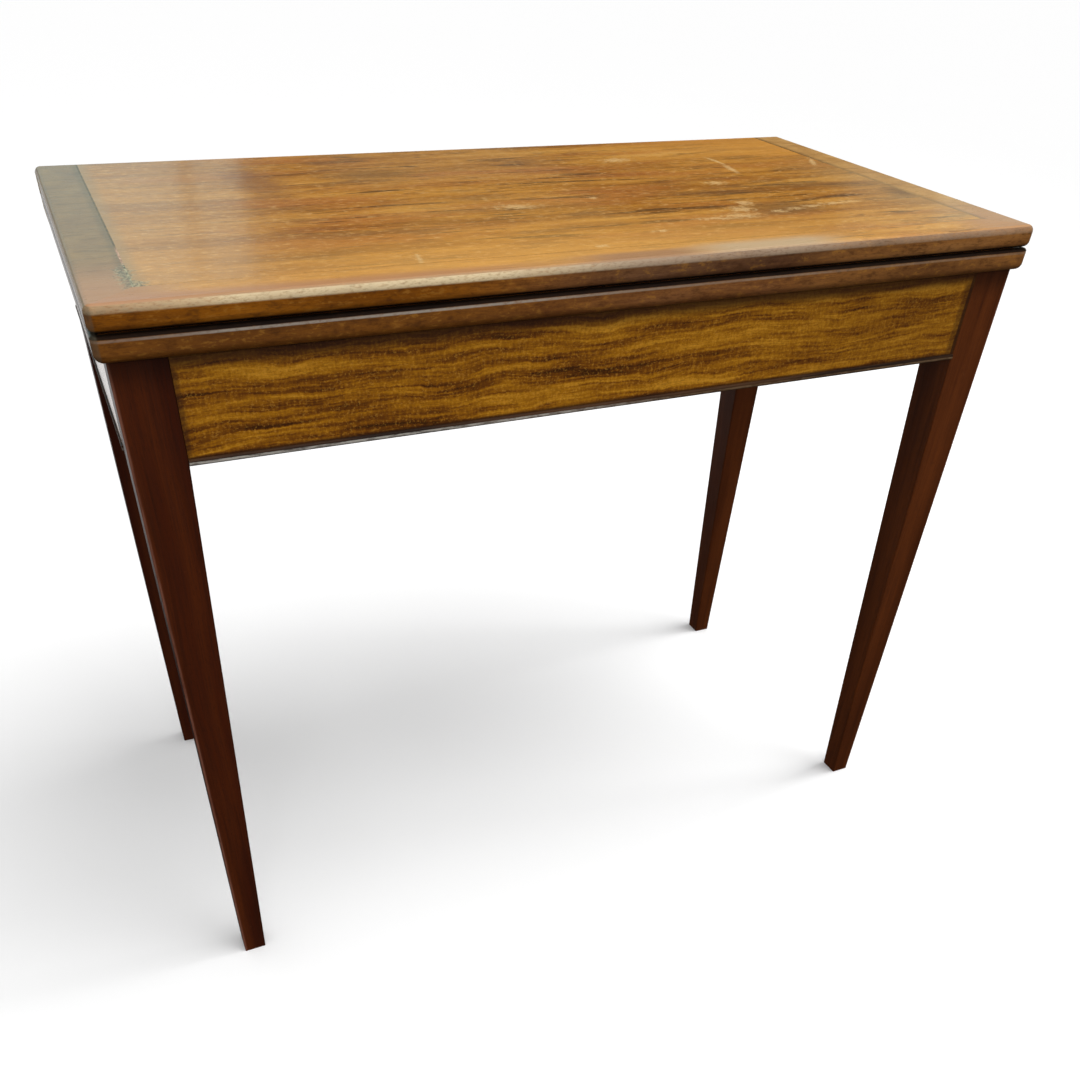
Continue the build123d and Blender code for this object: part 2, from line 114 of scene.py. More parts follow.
# These tints are partly painted haze of light and partly wear
# Tints of the field by place: colour and strength, then slopes of the strength, each an axis, where it
# starts and where it ends in mm, and its values there if they aren't 0 and 1
field_regions = (("EEA848", 0.60, (X, 80, 400), (Y, 0, 200)),
                 ("C49E66", 0.45, (X, 310, 420), (Y, -220, -120), (Y, 120, 20)),
                 ("F0BE6C", 0.13, (X, -200, -130), (X, 90, 20), (Y, -140, -90), (Y, 40, -10)),
                 ("C8B088", 0.13, (X, -210, -130), (X, 120, 40), (Y, 30, 120)),
                 ("F8BC64", 0.54, (Y, -60, -210), (X, 140, 280, 1.0, 0.35), (X, -340, -180, 0.45, 1.0)))

# A mark's edge and core, as shares of its half size, and how far crumbs of the grain break its edge up
mark_edge, mark_core, mark_crumbling = 1.25, 0.30, 5.0

# Marks on the top: place, half length and half width in mm, then turn in degrees and raggedness
stains = ((415, -68, 34, 30, 0, 0.3), (330, -22, 95, 13, -6, 0.3), (205, -32, 70, 12, -3, 0.3),
          (225, -100, 55, 26, -4, 0.3), (-130, 120, 60, 24, 0, 0.3))
red_patches = ((-256, 110, 30, 75, 10, 0.3),)
scuffs = ((199, -76, 9, 11), (181, -98, 15, 12), (168, -120, 21, 9, -8), (136, -124, 26, 5, -8),
          (216, -113, 9, 6), (239, -108, 11, 5, -5), (263, -104, 14, 5, -5), (294, -99, 18, 5, -5),
          (318, -96, 10, 4, -5), (279, 108, 24, 3.5, -85, 0.4), (274, 66, 26, 5, 80, 0.4),
          (218, 8, 14, 8), (162, 134, 20, 9), (420, 118, 17, 4, 60, 0.6), (398, 80, 26, 4, 62, 0.6),
          (-36, -38, 26, 9, -6), (-17, -182, 9, 4), (-184, -177, 16, 2.6, 82, 0.8), (54, -23, 5, 6),
          (60, -150, 9, 4))
lifted_lengths = ((-413, -160, 7, 24, -4, 0.8), (-408, -186, 10, 10, 0, 0.9))

# End bands: dark, light and streak
left_tones = ("8A6640", "A07C4A", "6E5030")
right_tones = ("C08C48", "DCAC66", "9C6E38")

# Woods: dark, middle and light
upper_golden = ("603204", "844A04", "A4620C")
upper_purple = ("523320", "744E30", "8A6246")
lower_golden = ("643A14", "885218", "A46A28")
lower_purple = ("5E3419", "85542A", "9C6A42")
leaf_brown = ("6D4420", "96622F", "B07B45")
dark_red = ("321306", "441908", "5A280C")
lighter_red = ("391807", "54270B", "6C3614")
gate_brown = ("5A3820", "7A5230", "94683E")
carcase_pale = ("8A6238", "A87C4A", "BE945E")

# Legs: wood, how far their inner faces are shaded, and an offset that makes each one's grain its own
legs = (("front_leg_left", dark_red, 0.45, 2), ("swing_leg", dark_red, 0.45, 6),
        ("front_leg_right", lighter_red, 0.05, 9), ("rear_leg_right", lighter_red, 0.05, 13))

# Layers of the frieze's figure: length and width of their patches in mm, an offset that keeps them
# apart, detail and roughness
frieze_layers = {"ripple": (3, 30, 0, 2.0, 0.5), "swell": (110, 60, 3, 2.0, 0.5),
                 "broad": (170, 16, 9, 3.0, 0.5), "smear": (100, 5.8, 7, 3.0, 0.6),
                 "fine": (45, 2.2, 5, 3.0, 0.6), "tick": (2.4, 8.5, 15, 3.0, 0.65),
                 "speckle": (2.2, 1.8, 11, 3.0, 0.6), "pore": (6, 0.3, 13, 1.0, 0.5)}

# How far ripples and swells push the figure up and down
ripple_push, swell_push = 2.2 * MM, 24 * MM

# The frieze veneer, from its smears to its lights
frieze_shades = [(0.38, "3E1C00"), (0.44, "6C3A02"), (0.49, "8E5604"), (0.55, "AC7008"), (0.63, "CC8E22")]

# Brightness of the surroundings: above and below for surfaces, dark and the ground behind for reflections
ambient_above, ambient_below = 0.62, 0.12
mirrored_dark, ground_glow = 0.02, 1.0

# Floor
floor_size = 60.0
floor_white = (0.98, 0.98, 0.98, 1.0)
floor_rough = 0.9

# Windows behind the table, seen only in its polish: name, place across, height, extent and brightness
windows = (("window_left", -0.86, 1.6, (1.68, 1.7), 0.60), ("window_mid", 0.09, 1.7, (0.14, 1.4), 0.66),
           ("window_soft", 2.75, 1.7, (0.5, 1.4), 0.18), ("window_right", 3.9, 1.7, (1.8, 1.4), 0.46))
window_tint = (0.66, 1.0, 1.0)
window_distance = 2.5


def tone(code):
    """A colour given as six sRGB hex digits, in linear light."""
    parts = [int(code[i:i + 2], 16) / 255 for i in (0, 2, 4)]
    linear = [p / 12.92 if p <= 0.04045 else ((p + 0.055) / 1.055) ** 2.4 for p in parts]
    return (*linear, 1.0)


class Graph:
    """A node tree, with short calls for the nodes that it is made of."""

    def __init__(self, tree):
        self.tree = tree
        self.tree.nodes.clear()

    def add(self, kind, **settings):
        node = self.tree.nodes.new(kind)
        for key, value in settings.items():
            setattr(node, key, value)
        return node

    def feed(self, socket, value):
        if isinstance(value, bpy.types.NodeSocket):
            self.tree.links.new(value, socket)
        else:
            socket.default_value = value

    def math(self, operation, a, b=0.0, c=0.0):
        node = self.add("ShaderNodeMath", operation=operation)
        for socket, value in zip(node.inputs, (a, b, c)):
            self.feed(socket, value)
        return node.outputs[0]

    def product(self, *values):
        whole = values[0]
        for value in values[1:]:
            whole = self.math("MULTIPLY", whole, value)
        return whole

    def most(self, *values):
        whole = values[0]
        for value in values[1:]:
            whole = self.math("MAXIMUM", whole, value)
        return whole

    def rise(self, value, start, end, low=0.0, high=1.0):
        """A soft step from low to high as the value goes from start to end."""
        node = self.add("ShaderNodeMapRange", interpolation_type="SMOOTHSTEP")
        for socket, number in zip(node.inputs, (value, start, end, low, high)):
            self.feed(socket, number)
        return node.outputs[0]

    def between(self, value, start, end, soft):
        """One between two values, falling softly to nothing outside them."""
        return self.product(self.rise(value, start - soft, start), self.rise(value, end + soft, end))


class Finish(Graph):
    """A material whose colour, roughness and bump are built from nodes in the table's own metres."""

    def __init__(self, name):
        self.material = bpy.data.materials.new(name)
        self.material.use_nodes = True
        super().__init__(self.material.node_tree)
        place = self.add("ShaderNodeTexCoord")
        self.place = place.outputs["Object"]
        self.normal = place.outputs["Normal"]
        self.x, self.y, self.z = self.parts_of(self.place)

    def parts_of(self, vector):
        node = self.add("ShaderNodeSeparateXYZ")
        self.feed(node.inputs[0], vector)
        return node.outputs

    def vector(self, operation, a, b):
        node = self.add("ShaderNodeVectorMath", operation=operation)
        self.feed(node.inputs[0], a)
        self.feed(node.inputs[1], b)
        return node.outputs[0]

    def noise(self, place, detail, roughness, distortion=0.0, result="Fac"):
        node = self.add("ShaderNodeTexNoise")
        self.feed(node.inputs["Vector"], place)
        node.inputs["Scale"].default_value = 1.0
        node.inputs["Detail"].default_value = detail
        node.inputs["Roughness"].default_value = roughness
        node.inputs["Distortion"].default_value = distortion
        return node.outputs[result]

    def stretched(self, place, grain, length, width, offset):
        """Coordinates in which one unit is length along the grain and width across it."""
        scales = [1 / width] * 3
        scales[grain] = 1 / length
        scaled = self.vector("MULTIPLY", place, scales)
        return self.vector("ADD", scaled, (offset,) * 3)

    def patches(self, place, grain, length, width, offset, detail, roughness, distortion=0.0):
        """Noise in patches of this length along the grain and width across it."""
        return self.noise(self.stretched(place, grain, length, width, offset),
                          detail, roughness, distortion)

    def wavy(self, place, grain, length, amount, offset):
        """The same place, pushed about by slow waves, so that the grain isn't ruled."""
        cells = self.stretched(place, grain, length, length / 2, offset)
        waves = self.noise(cells, 2.0, 0.5, result="Color")
        centred = self.vector("SUBTRACT", waves, (0.5, 0.5, 0.5))
        return self.vector("ADD", place, self.vector("MULTIPLY", centred, (amount,) * 3))

    def mix(self, share, a, b):
        node = self.add("ShaderNodeMix", data_type="RGBA")
        self.feed(node.inputs[mix_share], share)
        self.feed(node.inputs[mix_first], a)
        self.feed(node.inputs[mix_second], b)
        return node.outputs[mix_result]

    def tint(self, colour, code, share):
        """The colour, with a share of another laid over it."""
        return self.mix(share, colour, tone(code))

    def ramp(self, value, stops):
        node = self.add("ShaderNodeValToRGB")
        band = node.color_ramp.elements
        while len(band) < len(stops):
            band.new(1.0)
        for element, (position, colour) in zip(band, stops):
            element.position = position
            element.color = tone(colour)
        self.feed(node.inputs[0], value)
        return node.outputs[0]

    def rough(self, layer, ends):
        """Roughness that goes from one value in a layer's troughs to another on its crests."""
        return self.rise(layer, trough, crest, *ends)

    def slope(self, axis, start, end, low=0.0, high=1.0):
        """A soft step along one of the table's axes, between two places in mm."""
        return self.rise((self.x, self.y, self.z)[axis], start * MM, end * MM, low, high)

    def centred(self, layer):
        """A layer of noise, about nought."""
        return self.math("SUBTRACT", layer, 0.5)

    def from_ends(self, low, high):
        """How far a point of a leaf lies in from its nearer end."""
        return self.math("MINIMUM", self.math("SUBTRACT", self.x, low.x),
                         self.math("SUBTRACT", high.x, self.x))

    def finish(self, colour, roughness, heights, specular=0.5, coat=0.0, coat_roughness=0.1,
               metallic=0.0):
        """Ends the material. Heights are pairs of a value and the depth of its relief in metres."""
        shader = self.add("ShaderNodeBsdfPrincipled")
        self.feed(shader.inputs["Base Color"], colour)
        self.feed(shader.inputs["Roughness"], roughness)
        shader.inputs["Specular IOR Level"].default_value = specular
        shader.inputs["Coat Weight"].default_value = coat
        shader.inputs["Coat Roughness"].default_value = coat_roughness
        shader.inputs["Metallic"].default_value = metallic
        normal = None
        for height, depth in heights:
            bump = self.add("ShaderNodeBump")
            bump.inputs["Distance"].default_value = depth
            self.feed(bump.inputs["Height"], height)
            if normal is not None:
                self.feed(bump.inputs["Normal"], normal)
            normal = bump.outputs[0]
        self.feed(shader.inputs["Normal"], normal)
        self.feed(self.add("ShaderNodeOutputMaterial").inputs[0], shader.outputs[0])
        return self.material


def dress(names, material):
    """Gives CAD nodes a finish in place of the plain colour that they come with."""
    for name in names:
        node = nodes[name]
        node.data.materials.clear()
        node.data.materials.append(material)


def grain_layers(f, grain, offset=0.0, wave=12 * MM, length=160 * MM, width=8.5 * MM):
    """The layers that every wood here shares, each from 0 to 1. Length and width are the streaks'."""
    place = f.wavy(f.place, grain, wave_length, wave, offset)
    layers = {"place": place,
              "pore": f.patches(place, grain, pore_length, pore_width, offset + 19, 1.0, 0.5)}
    for name, (long, wide, apart, *rest) in grain_shapes.items():
        layers[name] = f.patches(place, grain, long * length, wide * width, offset + apart, *rest)
    return layers


def pored(f, colour, pore, code, share):
    """The colour with its pores filled in a darker one."""
    return f.tint(colour, code, f.rise(pore, pore_rim, pore_floor, 0.0, share))


def veneer_relief(g):
    return [(g["line"], veneer_line_relief), (g["pore"], veneer_pore_relief)]


def wood_relief(g):
    return [(g["line"], wood_line_relief), (g["pore"], wood_pore_relief)]


def mark(f, x, y, half_x, half_y, turn=0.0, ragged=1.0):
    """A ragged oval on the top, from 0 outside to 1 inside, broken up along the grain."""
    mapping = f.add("ShaderNodeMapping", vector_type="TEXTURE")
    f.feed(mapping.inputs["Vector"], f.place)
    mapping.inputs["Location"].default_value = (x * MM, y * MM, top)
    mapping.inputs["Rotation"].default_value = (0, 0, math.radians(turn))
    mapping.inputs["Scale"].default_value = (half_x * MM, half_y * MM, 1.0)
    radius = f.add("ShaderNodeVectorMath", operation="LENGTH")
    f.feed(radius.inputs[0], mapping.outputs[0])
    crumbs = f.patches(f.place, X, 6 * MM, 5 * MM, x, 4.0, 0.75)
    reach = f.math("MULTIPLY_ADD", f.centred(crumbs), mark_crumbling * ragged, radius.outputs["Value"])
    return f.rise(reach, mark_edge, mark_core)


def marks(f, rows):
    """All the marks of a table of them, as one mask."""
    return f.most(*[mark(f, *row) for row in rows])


def field_colour(f, g):
    """Golden mahogany: broad shades, smoky patches, tapered dark streaks and short pale flecks."""
    streaks = f.product(g["streak"], streak_share)
    colour = f.ramp(f.math("MULTIPLY_ADD", g["broad"], broad_share, streaks), field_shades)
    calm = f.slope(X, -200, -320, 1.0, 0.45)
    for length, width, offset, detail, roughness, start, whole, share, code, calmer in field_patches:
        layer = f.patches(g["place"], X, length * MM, width * MM, offset, detail, roughness)
        amount = f.rise(layer, start, whole, 0.0, share)
        colour = f.tint(colour, code, f.product(amount, calm) if calmer else amount)
    colour = f.tint(colour, "8A5820", f.rise(g["line"], 0.48, 0.70, 0.0, 0.18))
    # Paler at the left: partly painted light, the window's haze, and partly wear
    left_haze_and_wear = f.slope(X, -200, -340, 0.0, 0.48)
    colour = f.tint(colour, "BA8648", left_haze_and_wear)
    fleck = f.patches(f.place, X, 8.5 * MM, 4 * MM, 53, 3.0, 0.7)
    colour = f.tint(colour, "ECBE78", f.rise(fleck, 0.53, 0.70, 0.0, 0.50))
    colour = f.tint(colour, "8A5822", f.rise(fleck, 0.46, 0.32, 0.0, 0.35))
    colour = pored(f, colour, g["pore"], "5A3814", 0.30)
    for code, strength, *slopes in field_regions:
        colour = f.tint(colour, code, f.product(strength, *[f.slope(*row) for row in slopes]))
    return colour


def end_colour(f, g, dark, light, streak):
    """An end band: blotched, browner and pinker towards the front."""
    blotch = f.patches(f.place, X, 30 * MM, 40 * MM, 57, 4.0, 0.65)
    colour = f.ramp(blotch, [(trough, dark), (crest, light)])
    colour = f.tint(colour, streak, f.rise(g["streak"], 0.46, 0.70, 0.0, 0.5))
    colour = pored(f, colour, g["pore"], "3A2210", 0.4)
    pinker_front = f.slope(Y, -100, -200, 0.0, 0.70)
    return f.tint(colour, "C08A5E", pinker_front)


def wear_and_highlight(f, colour, mask, strength, pales):
    """A stretch painted pale, partly wear and partly painted highlight, broken up by the pores, in one
    pale tone at the left and another at the right.
    """
    dots = f.patches(f.place, X, 5 * MM, 1.6 * MM, 61, 3.0, 0.7)
    broad = f.patches(f.place, X, 90 * MM, 90 * MM, 67, 2.0, 0.5)
    share = f.product(f.rise(dots, 0.25, 0.55, 0.45, 1.0), f.rise(broad, 0.30, 0.60, 0.65, 1.0), mask,
                      f.slope(X, -445, -340, 0.50, 1.0), f.slope(X, 80, 280, 1.0, 0.60), strength)
    pale = f.mix(f.slope(X, -160, 20), *[tone(code) for code in pales])
    return f.mix(share, colour, pale)


def filled_line(f, colour):
    """Where a length of the thin line at the left has lifted and been filled, in mottled grey."""
    mottle = f.patches(f.place, Y, 3.5 * MM, 2.5 * MM, 5, 3.0, 0.7)
    filling = f.mix(f.rise(mottle, 0.42, 0.58), tone("564E34"), tone("B8AA80"))
    return f.mix(f.product(marks(f, lifted_lengths), 0.75), colour, filling)


def top_field():
    """The field, with its stains and scuffs, a little greyer next to the line at the left."""
    f = Finish("field_polish")
    g = grain_layers(f, X, wave=16 * MM, length=170 * MM, width=14 * MM)
    colour = field_colour(f, g)
    scuffed = marks(f, scuffs)
    colour = f.tint(colour, "6E4E30", f.product(marks(f, stains), 0.50))
    colour = f.tint(colour, "7C4624", f.product(marks(f, red_patches), 0.45))
    colour = f.tint(colour, "E2BE80", f.product(scuffed, 0.55))
    near_line = f.rise(f.x, field_low.x + 14 * MM, field_low.x, 0.0, 0.65)
    colour = f.tint(colour, "A88658", near_line)
    colour = filled_line(f, colour)
    roughness = f.most(f.rough(g["line"], veneer_rough), f.product(scuffed, 0.50))
    return f.finish(colour, roughness, veneer_relief(g), coat=0.3, coat_roughness=0.15)


def front_band():
    """The band along the front is close to the field in colour, pinker near its arris, with a painted
    haze right of the middle and its arris painted pale, partly wear and partly painted highlight.
    """
    f = Finish("front_band_polish")
    g = grain_layers(f, X, 23, wave=10 * MM, length=120 * MM, width=12 * MM)

    def near_arris(start, whole, low=0.0, high=1.0):
        """A step between two distances from the arris, in mm. It is whole at the second."""
        return f.rise(f.y, front_arris + start * MM, front_arris + whole * MM, low, high)

    colour = field_colour(f, g)
    left_corner = f.rise(f.x, field_low.x + 50 * MM, field_low.x - 4 * MM)
    colour = f.mix(left_corner, colour, end_colour(f, g, *left_tones))
    right_corner = f.rise(f.x, field_high.x - 60 * MM, field_high.x + 4 * MM)
    colour = f.mix(right_corner, colour, end_colour(f, g, *right_tones))
    pink_left = f.product(near_arris(22, 6), f.slope(X, 0, -200), 0.80)
    colour = f.tint(colour, "B8845E", pink_left)
    brown_middle = f.product(near_arris(26, 14), f.slope(X, -90, -20), f.slope(X, 100, 30), 0.75)
    colour = f.tint(colour, "A47E62", brown_middle)
    # Painted reflection: a pale grey haze of the sky on the band, right of the middle
    painted_haze_right = f.product(near_arris(34, 14), f.slope(X, 30, 100), f.slope(X, 240, 170), 0.85)
    colour = f.tint(colour, "CCB490", painted_haze_right)
    # The arris painted pale: wear and a painted highlight
    colour = wear_and_highlight(f, colour, near_arris(4, 0.5), 0.80, ("A4845E", "98785A"))
    roughness = f.most(f.rough(g["line"], veneer_rough), near_arris(5, 2, 0.0, 0.60))
    return f.finish(colour, roughness, veneer_relief(g), coat=0.15, coat_roughness=0.25)


def end_band(name, tones):
    """The band across an end of the top, dirtier along the thin line."""
    f = Finish(name)
    g = grain_layers(f, X, 31, length=50 * MM, width=8 * MM)
    colour = filled_line(f, end_colour(f, g, *tones))
    from_line = f.math("SUBTRACT", field_high.x + 2 * MM, f.math("ABSOLUTE", f.x))
    colour = f.tint(colour, "4E4026", f.rise(from_line, -7 * MM, -1 * MM, 0.0, 0.30))
    return f.finish(colour, f.rough(g["line"], veneer_rough), [(g["line"], veneer_line_relief)],
                    coat=0.3, coat_roughness=0.15)


def string_line():
    """The thin line: dark behind and pale in front along both ends, faint along the front."""
    f = Finish("string_polish")
    mottle = f.patches(f.place, Y, 6 * MM, 3 * MM, 5, 4.0, 0.7)
    patchy = f.rise(mottle, 0.38, 0.62)
    left = f.mix(patchy, tone("5E4C32"), tone("80683F"))
    left = f.mix(f.slope(Y, -80, -95), left, f.mix(patchy, tone("9A6E50"), tone("D8AE8C")))
    left = f.mix(f.slope(Y, -125, -140), left, f.mix(patchy, tone("4E4834"), tone("B8AC84")))
    front = f.mix(patchy, tone("B07C36"), tone("CC9244"))
    front = f.tint(front, "B8905C", f.slope(X, 240, 340))
    right = f.mix(f.slope(Y, 140, 0), tone("4E3218"), tone("A8824E"))
    colour = f.mix(f.rise(f.x, field_low.x, field_low.x + 20 * MM), left, front)
    colour = f.mix(f.rise(f.x, field_high.x - 100 * MM, field_high.x - 20 * MM), colour, right)
    return f.finish(colour, 0.4, [(mottle, string_relief)], coat=0.3, coat_roughness=0.2)


def wood_colour(f, g, tones, streaks=0.6):
    """Plain wood between a dark, a middle and a light tone, with dark streaks, lines and pores."""
    dark, middle, light = tones
    colour = f.ramp(g["broad"], [(trough, dark), (0.5, middle), (0.72, light)])
    colour = f.tint(colour, dark, f.rise(g["streak"], 0.50, 0.72, 0.0, streaks))
    colour = f.tint(colour, dark, f.rise(g["line"], 0.40, 0.70, 0.0, 0.4))
    return pored(f, colour, g["pore"], "1E0E06", 0.5)


def plain_wood(name, grain, tones, rough):
    """Unpolished wood, as inside and behind."""
    f = Finish(name)
    g = grain_layers(f, grain)
    return f.finish(wood_colour(f, g, tones), f.rough(g["line"], rough), wood_relief(g), specular=0.35)


def leaf_wood(name, box, offset, rub_and_highlight, strength, gap_shade_levels, pales, golden_tones, purple_tones):
    """A leaf: golden at its left and browner to the right, with its arris painted pale and a painted
    shade on its rim.

    Rub and highlight gives the mask of the arris, painted pale by wear and a painted highlight, and
    strength how far it goes to the two pale tones.
    Gap shade levels are the pair of levels from clean to dark of the painted shade of the gap, on the rim
    that faces the other leaf.
    """
    f = Finish(name)
    low, high = box
    g = grain_layers(f, X, offset, length=70 * MM, width=4.5 * MM)
    golden = wood_colour(f, g, golden_tones, 0.5)
    colour = f.mix(f.slope(X, -200, 30), golden, wood_colour(f, g, purple_tones))
    colour = f.mix(f.slope(X, 120, 240), colour, wood_colour(f, g, leaf_brown))
    mottle = f.patches(f.place, X, 11 * MM, 4.5 * MM, offset + 3, 4.0, 0.7)
    colour = f.tint(colour, "3C2008", f.rise(mottle, 0.50, 0.68, 0.0, 0.50))
    colour = f.tint(colour, "B47C30", f.rise(mottle, 0.46, 0.32, 0.0, 0.40))
    darker_below = f.rise(f.z, high.z - 8 * MM, low.z + 3 * MM, 0.0, 0.35)
    colour = f.tint(colour, "34190A", darker_below)
    colour = wear_and_highlight(f, colour, rub_and_highlight(f), strength, pales)
    ends = f.from_ends(low, high)
    rim = f.math("MINIMUM", ends, f.math("SUBTRACT", f.y, low.y))
    # Painted shade of the gap between the leaves, on the rim that faces the other leaf
    gap_shade = f.product(f.rise(f.z, *gap_shade_levels), f.rise(rim, 8.5 * MM, 5.5 * MM))
    colour = f.tint(colour, "0A0503", f.product(gap_shade, 0.95))
    # Painted reflection: the rounded ends greyed, where a glossy end catches the window at a glancing
    # angle
    colour = f.tint(colour, "605A4A", f.rise(ends, 6 * MM, 4 * MM, 0.0, 0.40))
    roughness = f.most(f.rough(g["line"], leaf_rough), f.product(gap_shade, 0.85))
    glossy_ends = f.rise(ends, 0.5 * MM, 6 * MM, 0.26, 1.0)
    return f.finish(colour, f.math("MINIMUM", roughness, glossy_ends), wood_relief(g), specular=0.15)


def upper_wear_and_highlight(f):
    """The rounded top arris of the upper leaf, painted pale: wear and a painted highlight."""
    return f.rise(f.z, upper_high.z - 6 * MM, upper_high.z - 4.2 * MM)


def lower_highlight_line(f):
    """A narrow painted highlight just under the top arris of the lower leaf."""
    return f.between(f.z, lower_high.z - 3.8 * MM, lower_high.z - 2.8 * MM, 1 * MM)


def leg_wood(name, tones, inner_shade, offset):
    """A dark leg with a few small knocks, with painted shade on its inner faces and at its top under the
    leaf, its outer arris paler with wear.
    """
    f = Finish(name + "_polish")
    low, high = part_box(name)
    g = grain_layers(f, Z, offset, length=200 * MM, width=6 * MM)
    colour = wood_colour(f, g, tones, 0.5)
    knocks = f.patches(f.place, Z, 11 * MM, 7 * MM, offset + 71, 3.0, 0.7)
    colour = f.tint(colour, "8A5A3C", f.rise(knocks, 0.70, 0.78, 0.0, 0.6))
    out_x = -1 if low.x + high.x < 0 else 1
    out_y = -1 if low.y + high.y < 0 else 1
    facing = f.parts_of(f.normal)[0]
    inner_face = f.rise(f.product(facing, -out_x), 0.3, 0.7, 0.0, inner_shade)
    colour = f.tint(colour, "1C0A04", inner_face)
    arris_x = low.x if out_x < 0 else high.x
    arris_y = low.y if out_y < 0 else high.y
    arris = f.product(f.rise(f.x, arris_x - out_x * 2.8 * MM, arris_x - out_x * 0.8 * MM),
                      f.rise(f.y, arris_y - out_y * 2.8 * MM, arris_y - out_y * 0.8 * MM))
    broken = f.patches(f.place, Z, 30 * MM, 4 * MM, offset + 77, 4.0, 0.7)
    colour = f.tint(colour, "8E5E4C", f.product(arris, f.rise(broken, 0.30, 0.60, 0.3, 0.8)))
    # Painted shade at the top of the leg, under the leaf
    under_leaf = f.rise(f.z, high.z - 30 * MM, high.z - 2 * MM, 0.0, 0.5)
    colour = f.tint(colour, "140805", under_leaf)
    return f.finish(colour, f.rough(g["line"], leg_rough), wood_relief(g),
                    specular=0.25, coat=0.05, coat_roughness=0.3)


def bead_wood():
    """The dark bead, with a pale line along its crest, a painted highlight and wear."""
    f = Finish("bead_polish")
    g = grain_layers(f, X, 17)
    colour = f.mix(f.rise(g["streak"], 0.35, 0.65), tone("24140A"), tone("4A2E16"))
    # The pale crest line is a painted highlight, partly wear
    along_crest = f.between(f.z, bead_foot + 1.8 * MM, bead_foot + 3 * MM, 1 * MM)
    rub_and_highlight = f.mix(f.slope(X, -100, 80), tone("C8C2B8"), tone("7A6248"))
    dots = f.patches(f.place, X, 12 * MM, 3 * MM, 61, 3.0, 0.7)
    colour = f.mix(f.product(f.rise(dots, 0.35, 0.60, 0.3, 1.0), along_crest, 0.8), colour, rub_and_highlight)
    return f.finish(colour, f.rough(g["line"], bead_rough), [(g["line"], wood_line_relief)], specular=0.2)


def frieze(name, grain, offset, coat, rough):
    """Veneer with a rippled figure: thin dark smears along the grain, broken by ripples across it."""
    f = Finish(name)

    def layers(place, *names):
        """Some of the figure's layers, as they lie at this place."""
        for length, width, apart, detail, roughness in [frieze_layers[name] for name in names]:
            yield f.patches(place, grain, length * MM, width * MM, offset + apart, detail, roughness)

    ripple, swell, tick, speckle, pore = layers(f.place, "ripple", "swell", "tick", "speckle", "pore")
    lift = f.add("ShaderNodeCombineXYZ")
    f.feed(lift.inputs["Z"], f.math("MULTIPLY_ADD", f.centred(ripple), ripple_push,
                                    f.product(f.centred(swell), swell_push)))
    broad, smear, fine = layers(f.vector("ADD", f.place, lift.outputs[0]), "broad", "smear", "fine")
    figure = f.product(broad, 0.34)
    for layer, share in ((smear, 0.38), (fine, 0.28), (f.centred(tick), 0.16)):
        figure = f.math("MULTIPLY_ADD", layer, share, figure)
    colour = f.ramp(figure, frieze_shades)
    colour = f.tint(colour, "6E4204", f.rise(speckle, 0.50, 0.72, 0.0, 0.45))
    colour = f.tint(colour, "DCA040", f.rise(speckle, 0.48, 0.30, 0.0, 0.35))
    colour = pored(f, colour, pore, "2C1604", 0.4)
    # Darker near the edges: a painted shadow of the leaf along the top; on the front frieze, dirt at the
    # left end and dirt with painted shade by the leg at the right; also darker along the foot and towards
    # the right
    edge_wander = f.math("MULTIPLY_ADD", swell, 10 * MM, f.z)
    shades = [f.rise(edge_wander, frieze_high.z - 12 * MM, frieze_high.z + 1 * MM, 0.0, 0.85)]
    if grain == X:
        left_wander = f.math("MULTIPLY_ADD", ripple, 4 * MM, f.x)
        shades += [f.rise(left_wander, frieze_low.x + 9 * MM, frieze_low.x + 3 * MM, 0.0, 0.65),
                   f.rise(f.x, frieze_high.x - 16 * MM, frieze_high.x - 8 * MM, 0.0, 0.60),
                   f.rise(f.x, frieze_high.x - 6.5 * MM, frieze_high.x - 3.5 * MM, 0.0, 0.93)]
    shades += [f.rise(f.z, frieze_low.z + 3 * MM, frieze_low.z + 0.5 * MM, 0.0, 0.85),
               f.slope(X, 50, 350, 0.0, 0.18)]
    colour = f.tint(colour, "34190A", f.most(*shades))
    return f.finish(colour, f.rough(speckle, rough),
                    [(speckle, wood_line_relief), (pore, veneer_pore_relief)],
                    specular=0.2, coat=coat, coat_roughness=rough[0])


def metal(name, colour, dull, smooth):
    """Old metal in its own colour, spotted with a dull one. Smooth is its least roughness."""
    f = Finish(name)
    spots = f.patches(f.place, X, 4 * MM, 4 * MM, 0.0, 4.0, 0.6)
    shade = f.mix(f.rise(spots, 0.4, 0.65), tone(colour), tone(dull))
    return f.finish(shade, f.rough(spots, (smooth, smooth + spotted)), [(spots, metal_relief)],
                    metallic=dulled_metallic)


